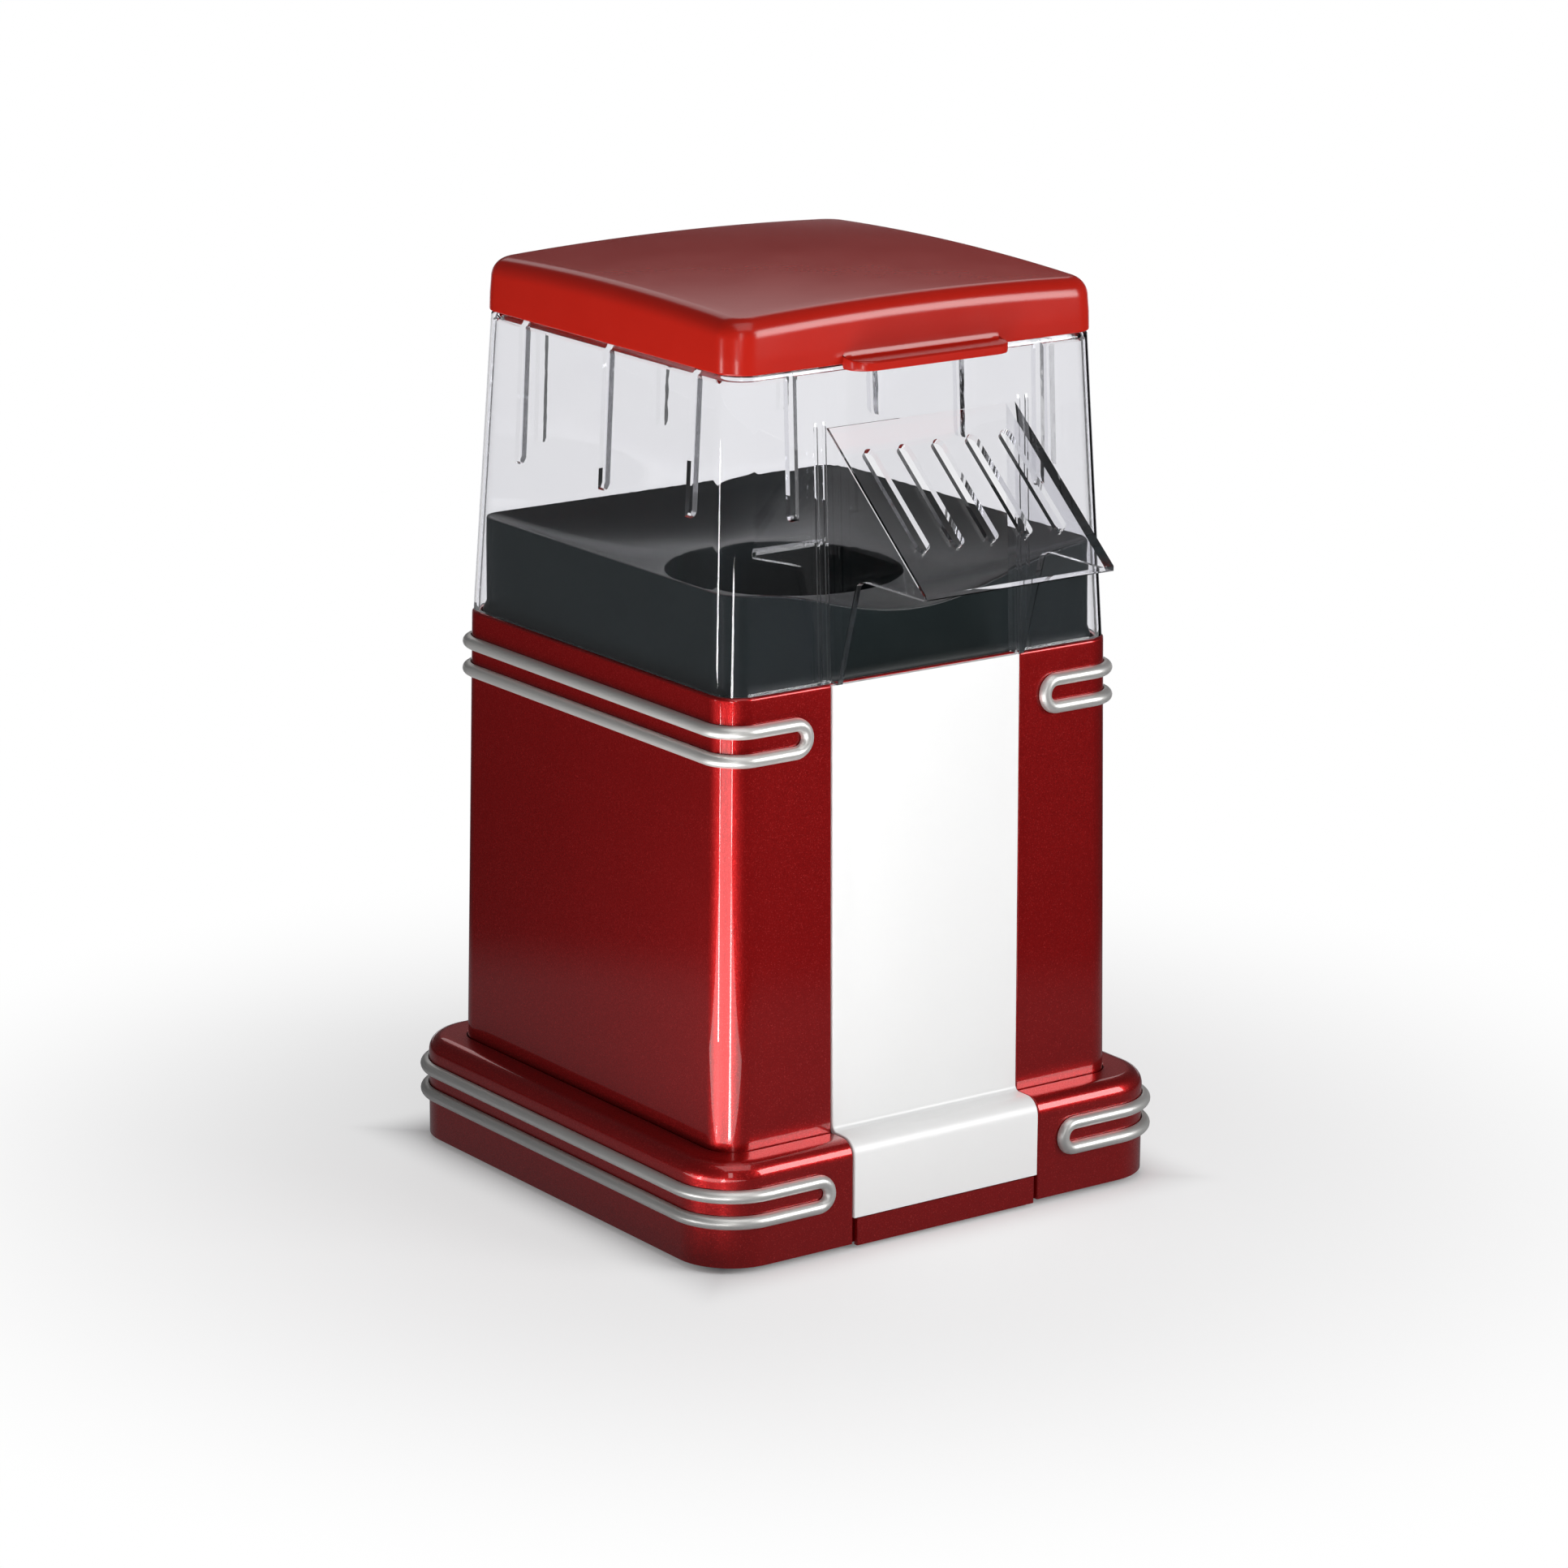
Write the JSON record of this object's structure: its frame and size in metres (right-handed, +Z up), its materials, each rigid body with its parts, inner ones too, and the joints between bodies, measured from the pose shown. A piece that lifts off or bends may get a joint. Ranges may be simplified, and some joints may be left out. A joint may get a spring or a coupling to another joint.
{
  "type": "hot-air popcorn maker",
  "caption": "Countertop hot-air popcorn maker: square tapered housing on a plinth, clear hood with a slotted front chute, and a lift-off lid that serves as the measuring cup.",
  "frame": {"origin": "centre of the bounding box at the surface that the feet stand on", "axes": "+Z up, the chute towards -Y, +X to the right of someone looking along +Y at the chute"},
  "size_m": [0.1724, 0.2, 0.2799],
  "materials": {
    "pearl_red": "deep metallic red, moulded or lacquered, high gloss",
    "gloss_red": "plain red moulding, high gloss",
    "gloss_white": "plain white moulding, gloss",
    "gloss_black": "black moulding, gloss",
    "satin_silver": "satin silver coat on plastic",
    "clear_plastic": "clear moulding, polished",
    "grey_plastic": "plain moulding",
    "rubber": "matt",
    "silicone": "matt",
    "aluminium": "pressed sheet",
    "zinc_steel": "zinc plated",
    "sintered_bronze": "sintered, oiled",
    "copper": "drawn copper",
    "ferrite": "pressed powder, dull",
    "mica": "layered sheet",
    "heater_wire": "oxidised resistance wire",
    "circuit_board": "phenolic board",
    "bakelite": "pressed, semi-gloss",
    "switch_red": "moulded, gloss"
  },
  "bodies": {
    "housing": {"plinth": "pearl_red", "body_shell": "pearl_red", "front_panel": "gloss_white", "kick_strip": "pearl_red", "trim_body_left": "satin_silver", "trim_body_right": "satin_silver", "trim_plinth_left": "satin_silver", "trim_plinth_right": "satin_silver", "base_plate": "grey_plastic", "chamber_cover": "gloss_black", "popping_chamber": "aluminium", "chamber_seal": "silicone", "heater_duct": "aluminium", "thermostat": "bakelite", "thermal_fuse": "silicone", "mica_board_a": "mica", "mica_board_b": "mica", "heater_coil": "heater_wire", "fan_housing": "grey_plastic", "motor_can": "zinc_steel", "motor_end_cap": "bakelite", "bushing_lower": "sintered_bronze", "bushing_upper": "sintered_bronze", "magnet_1": "ferrite", "magnet_2": "ferrite", "brush_1": "ferrite", "brush_2": "ferrite", "rectifier_board": "circuit_board", "switch_frame": "bakelite", "cord_grommet": "rubber", "wire_motor": "rubber", "wire_heater": "rubber", "foot_1": "rubber", "base_screw_1": "zinc_steel", "cover_screw_1": "zinc_steel", "diode_1": "bakelite", "foot_2": "rubber", "base_screw_2": "zinc_steel", "cover_screw_2": "zinc_steel", "diode_2": "bakelite", "foot_3": "rubber", "base_screw_3": "zinc_steel", "cover_screw_3": "zinc_steel", "diode_3": "bakelite", "foot_4": "rubber", "base_screw_4": "zinc_steel", "cover_screw_4": "zinc_steel", "diode_4": "bakelite", "duct_screw_1": "zinc_steel", "duct_screw_2": "zinc_steel", "duct_screw_3": "zinc_steel", "motor_screw_1": "zinc_steel", "motor_screw_2": "zinc_steel"},
    "hood": {"hood": "clear_plastic"},
    "lid": {"lid": "gloss_red"},
    "rotor": {"motor_shaft": "zinc_steel", "armature": "zinc_steel", "commutator": "copper", "impeller": "grey_plastic"},
    "rocker": {"switch_rocker": "switch_red"}
  },
  "joints": [
    {"name": "hood_lift", "type": "slide", "parent": "housing", "child": "hood", "axis": [0, 0, 1], "range_m": [0, 0.12]},
    {"name": "lid_lift", "type": "slide", "parent": "hood", "child": "lid", "axis": [0, 0, 1], "range_m": [0, 0.06]},
    {"name": "fan_spin", "type": "hinge", "parent": "housing", "child": "rotor", "pos_m": [0, 0.0138, 0.06], "axis": [0, 0, 1], "continuous": true},
    {"name": "switch_rock", "type": "hinge", "parent": "housing", "child": "rocker", "pos_m": [0, 0.08471, 0.075], "axis": [1, 0, 0], "range_deg": [0, 20]}
  ]
}
